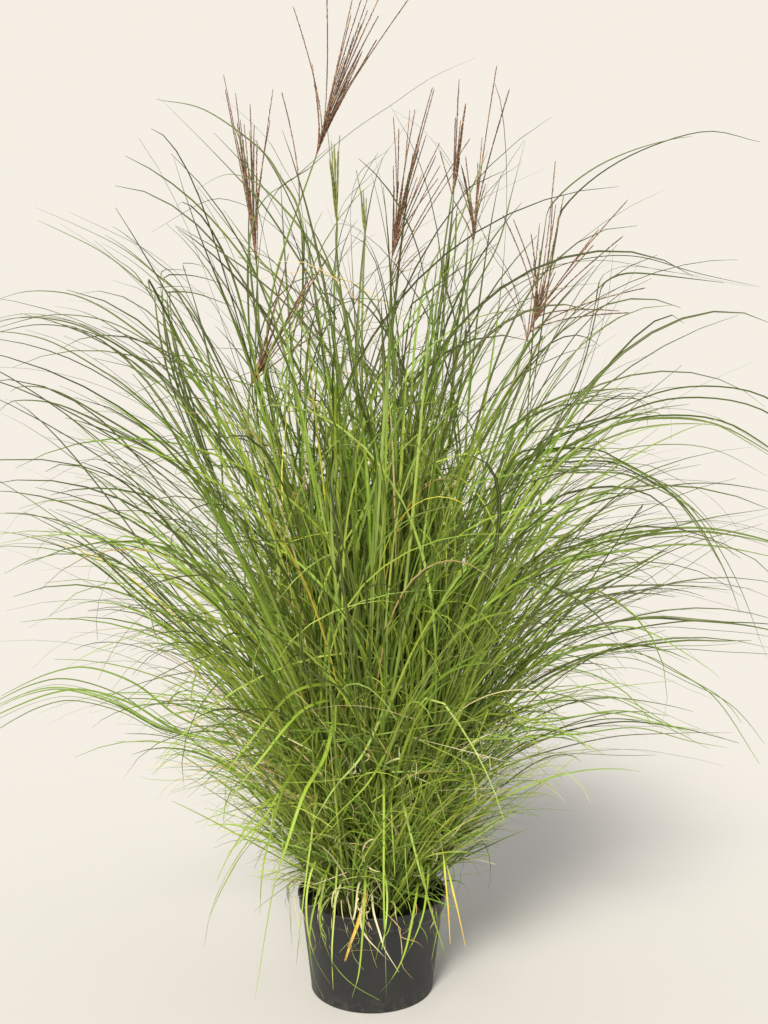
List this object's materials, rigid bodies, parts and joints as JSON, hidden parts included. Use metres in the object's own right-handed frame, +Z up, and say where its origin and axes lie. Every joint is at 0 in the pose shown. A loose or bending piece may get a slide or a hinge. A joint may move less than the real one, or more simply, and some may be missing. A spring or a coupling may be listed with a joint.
{
  "type": "potted ornamental grass",
  "caption": "Clump of miscanthus grass in a round nursery pot: arching leafy shoots, flowering stems with fan-shaped plumes, potting soil.",
  "frame": {"origin": "centre of the pot's foot, on the surface the pot stands on", "axes": "+Z up along the pot's axis; +X to the right and +Y away, seen from the front"},
  "size_m": [1.577, 1.1891, 1.6425],
  "materials": {
    "pot_plastic": "satin",
    "soil": "matte",
    "leaf": "satin",
    "stem": "satin",
    "plume_ripe": "matte",
    "plume_young": "matte"
  },
  "bodies": {
    "root": {"pot": "pot_plastic", "potting_soil": "soil", "upright_shoot_01": "leaf", "upright_shoot_02": "leaf", "upright_shoot_03": "leaf", "upright_shoot_04": "leaf", "upright_shoot_05": "leaf", "upright_shoot_06": "leaf", "upright_shoot_07": "leaf", "upright_shoot_08": "leaf", "upper_shoot_01": "leaf", "upper_shoot_02": "leaf", "upper_shoot_03": "leaf", "upper_shoot_04": "leaf", "upper_shoot_05": "leaf", "upper_shoot_06": "leaf", "upper_shoot_07": "leaf", "upper_shoot_08": "leaf", "upper_shoot_09": "leaf", "upper_shoot_10": "leaf", "upper_shoot_11": "leaf", "middle_shoot_01": "leaf", "middle_shoot_02": "leaf", "middle_shoot_03": "leaf", "middle_shoot_04": "leaf", "middle_shoot_05": "leaf", "middle_shoot_06": "leaf", "middle_shoot_07": "leaf", "middle_shoot_08": "leaf", "middle_shoot_09": "leaf", "middle_shoot_10": "leaf", "middle_shoot_11": "leaf", "low_shoot_01": "leaf", "low_shoot_02": "leaf", "low_shoot_03": "leaf", "low_shoot_04": "leaf", "low_shoot_05": "leaf", "low_shoot_06": "leaf", "low_shoot_07": "leaf", "low_shoot_08": "leaf", "low_shoot_09": "leaf", "low_shoot_10": "leaf", "flower_stem_1": "stem", "flower_stem_2": "stem", "flower_stem_3": "stem", "flower_stem_4": "stem", "flower_stem_5": "stem", "flower_stem_6": "stem", "flower_stem_7": "stem", "flower_stem_8": "stem", "flower_stem_9": "stem", "plume_1": "plume_ripe", "plume_2": "plume_ripe", "plume_3": "plume_ripe", "plume_4": "plume_young", "plume_5": "plume_young", "plume_6": "plume_ripe", "plume_7": "plume_ripe", "plume_8": "plume_ripe", "plume_9": "plume_ripe"}
  },
  "joints": []
}
